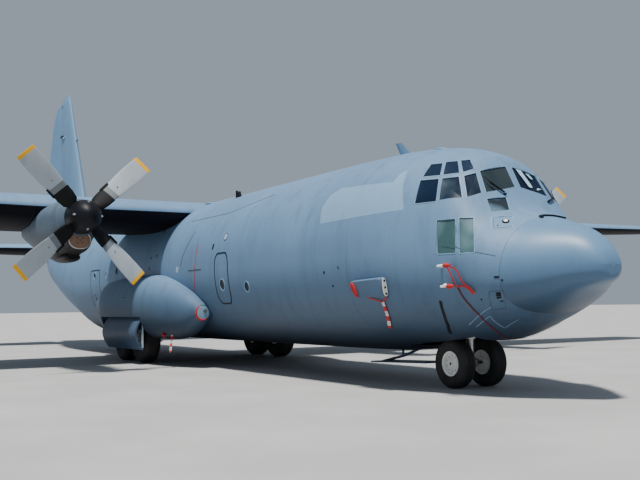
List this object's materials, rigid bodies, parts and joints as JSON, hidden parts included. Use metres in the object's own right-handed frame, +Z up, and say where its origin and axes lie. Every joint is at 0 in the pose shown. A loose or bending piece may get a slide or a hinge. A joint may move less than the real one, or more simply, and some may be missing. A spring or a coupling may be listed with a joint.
{
  "type": "military transport plane, 1:2 scale model",
  "caption": "Four-propeller high-wing military transport plane parked on its wheels, with rear cargo ramp, flaps, ailerons, elevators, rudder, crew door and steered nose wheels.",
  "frame": {"origin": "on the ground, on the centreline, half way along the fuselage, at the bottom centre of its box", "axes": "+X forward towards the nose, +Y to port (the plane's left), +Z up"},
  "size_m": [17.185, 20.205, 5.83],
  "materials": {
    "hull_paint": "matte",
    "floor_paint": "matte",
    "blade_paint": "satin",
    "tyre": "matte",
    "rim_paint": "satin",
    "gear_metal": "satin",
    "window_glass": "gloss"
  },
  "bodies": {
    "airframe": {"radome": "hull_paint", "nose_section": "hull_paint", "forward_fuselage": "hull_paint", "centre_fuselage": "hull_paint", "aft_fuselage": "hull_paint", "tail_cone": "hull_paint", "side_door_left": "hull_paint", "side_door_right": "hull_paint", "centre_wing": "hull_paint", "outer_wing_left": "hull_paint", "outer_wing_right": "hull_paint", "nacelle_outer_left": "hull_paint", "nacelle_inner_left": "hull_paint", "nacelle_inner_right": "hull_paint", "nacelle_outer_right": "hull_paint", "stabiliser": "hull_paint", "fin": "hull_paint", "wheel_fairing_left": "hull_paint", "wheel_fairing_right": "hull_paint", "main_gear_door_left": "hull_paint", "main_gear_door_right": "hull_paint", "nose_gear_door": "hull_paint", "cargo_floor": "floor_paint", "flight_deck": "floor_paint", "main_gear_left": "gear_metal", "main_gear_right": "gear_metal", "nose_leg": "gear_metal", "flight_deck_glazing": "window_glass"},
    "crew_door": {"crew_door": "hull_paint"},
    "cargo_ramp": {"cargo_ramp": "hull_paint"},
    "aft_cargo_door": {"aft_cargo_door": "hull_paint"},
    "elevators": {"elevator_left": "hull_paint", "elevator_right": "hull_paint"},
    "rudder": {"rudder": "hull_paint"},
    "nose_steering": {"nose_steering": "gear_metal"},
    "nose_wheels": {"nose_tyre_left": "tyre", "nose_tyre_right": "tyre", "nose_rims": "rim_paint"},
    "aileron_left": {"aileron_left": "hull_paint"},
    "inner_flap_left": {"inner_flap_left": "hull_paint"},
    "propeller_inner_left": {"propeller_inner_left": "blade_paint"},
    "outer_flap_left": {"outer_flap_left": "hull_paint"},
    "propeller_outer_left": {"propeller_outer_left": "blade_paint"},
    "main_wheel_front_left": {"main_tyre_front_left": "tyre", "main_rim_front_left": "rim_paint"},
    "main_wheel_rear_left": {"main_tyre_rear_left": "tyre", "main_rim_rear_left": "rim_paint"},
    "aileron_right": {"aileron_right": "hull_paint"},
    "inner_flap_right": {"inner_flap_right": "hull_paint"},
    "propeller_inner_right": {"propeller_inner_right": "blade_paint"},
    "outer_flap_right": {"outer_flap_right": "hull_paint"},
    "propeller_outer_right": {"propeller_outer_right": "blade_paint"},
    "main_wheel_front_right": {"main_tyre_front_right": "tyre", "main_rim_front_right": "rim_paint"},
    "main_wheel_rear_right": {"main_tyre_rear_right": "tyre", "main_rim_rear_right": "rim_paint"}
  },
  "joints": [
    {"name": "propeller_outer_left_spin", "type": "hinge", "parent": "airframe", "child": "propeller_outer_left", "pos_m": [2.5925, 5.075, 1.98], "axis": [1, 0, 0], "continuous": true},
    {"name": "propeller_inner_left_spin", "type": "hinge", "parent": "airframe", "child": "propeller_inner_left", "pos_m": [2.7425, 2.475, 1.89], "axis": [1, 0, 0], "continuous": true},
    {"name": "propeller_outer_right_spin", "type": "hinge", "parent": "airframe", "child": "propeller_outer_right", "pos_m": [2.5925, -5.075, 1.98], "axis": [1, 0, 0], "continuous": true},
    {"name": "propeller_inner_right_spin", "type": "hinge", "parent": "airframe", "child": "propeller_inner_right", "pos_m": [2.7425, -2.475, 1.89], "axis": [1, 0, 0], "continuous": true},
    {"name": "main_wheel_front_left_roll", "type": "hinge", "parent": "airframe", "child": "main_wheel_front_left", "pos_m": [1.1075, 1.09, 0.335], "axis": [0, 1, 0], "continuous": true},
    {"name": "main_wheel_rear_left_roll", "type": "hinge", "parent": "airframe", "child": "main_wheel_rear_left", "pos_m": [0.3375, 1.09, 0.335], "axis": [0, 1, 0], "continuous": true},
    {"name": "main_wheel_front_right_roll", "type": "hinge", "parent": "airframe", "child": "main_wheel_front_right", "pos_m": [1.1075, -1.09, 0.335], "axis": [0, 1, 0], "continuous": true},
    {"name": "main_wheel_rear_right_roll", "type": "hinge", "parent": "airframe", "child": "main_wheel_rear_right", "pos_m": [0.3375, -1.09, 0.335], "axis": [0, 1, 0], "continuous": true},
    {"name": "nose_steer", "type": "hinge", "parent": "airframe", "child": "nose_steering", "pos_m": [6.8825, 0, 0.2275], "axis": [0, 0, 1], "range_deg": [-60, 60]},
    {"name": "nose_wheel_roll", "type": "hinge", "parent": "nose_steering", "child": "nose_wheels", "pos_m": [6.8825, 0, 0.2275], "axis": [0, 1, 0], "continuous": true},
    {"name": "outer_flap_left_drop", "type": "hinge", "parent": "airframe", "child": "outer_flap_left", "pos_m": [0.17292, 2.86, 1.75518], "axis": [0, -1, 0], "range_deg": [0, 36]},
    {"name": "inner_flap_left_drop", "type": "hinge", "parent": "airframe", "child": "inner_flap_left", "pos_m": [0.03625, 1.125, 1.69034], "axis": [0, -1, 0], "range_deg": [0, 36]},
    {"name": "aileron_left_hinge", "type": "hinge", "parent": "airframe", "child": "aileron_left", "pos_m": [0.09665, 6.65, 2.18845], "axis": [-0.0798, -0.9964, -0.0274], "range_deg": [-25, 15]},
    {"name": "outer_flap_right_drop", "type": "hinge", "parent": "airframe", "child": "outer_flap_right", "pos_m": [0.17292, -2.86, 1.75518], "axis": [0, -1, 0], "range_deg": [0, 36]},
    {"name": "inner_flap_right_drop", "type": "hinge", "parent": "airframe", "child": "inner_flap_right", "pos_m": [0.03625, -1.125, 1.69034], "axis": [0, -1, 0], "range_deg": [0, 36]},
    {"name": "aileron_right_hinge", "type": "hinge", "parent": "airframe", "child": "aileron_right", "pos_m": [0.09665, -6.65, 2.18845], "axis": [0.0798, -0.9964, 0.0274], "range_deg": [-25, 15]},
    {"name": "elevator_hinge", "type": "hinge", "parent": "airframe", "child": "elevators", "pos_m": [-7.4825, 0, 2.115], "axis": [0, -1, 0], "range_deg": [-40, 15]},
    {"name": "rudder_hinge", "type": "hinge", "parent": "airframe", "child": "rudder", "pos_m": [-7.6575, 0, 4], "axis": [0, 0, 1], "range_deg": [-57, 13]},
    {"name": "crew_door_hinge", "type": "hinge", "parent": "airframe", "child": "crew_door", "pos_m": [6.6225, 0.6344, 0.528], "axis": [-1, 0, 0], "range_deg": [0, 125]},
    {"name": "ramp_hinge", "type": "hinge", "parent": "airframe", "child": "cargo_ramp", "pos_m": [-2.7275, 0, 0.4], "axis": [0, -1, 0], "range_deg": [0, 28]},
    {"name": "aft_cargo_door_hinge", "type": "hinge", "parent": "airframe", "child": "aft_cargo_door", "pos_m": [-6.185, 0, 1.54], "axis": [0, -1, 0], "range_deg": [0, 25]}
  ],
  "couplings": [
    {"joint": "outer_flap_right_drop", "follows": "outer_flap_left_drop", "ratio": 1},
    {"joint": "inner_flap_left_drop", "follows": "outer_flap_left_drop", "ratio": 1},
    {"joint": "inner_flap_right_drop", "follows": "outer_flap_left_drop", "ratio": 1}
  ]
}
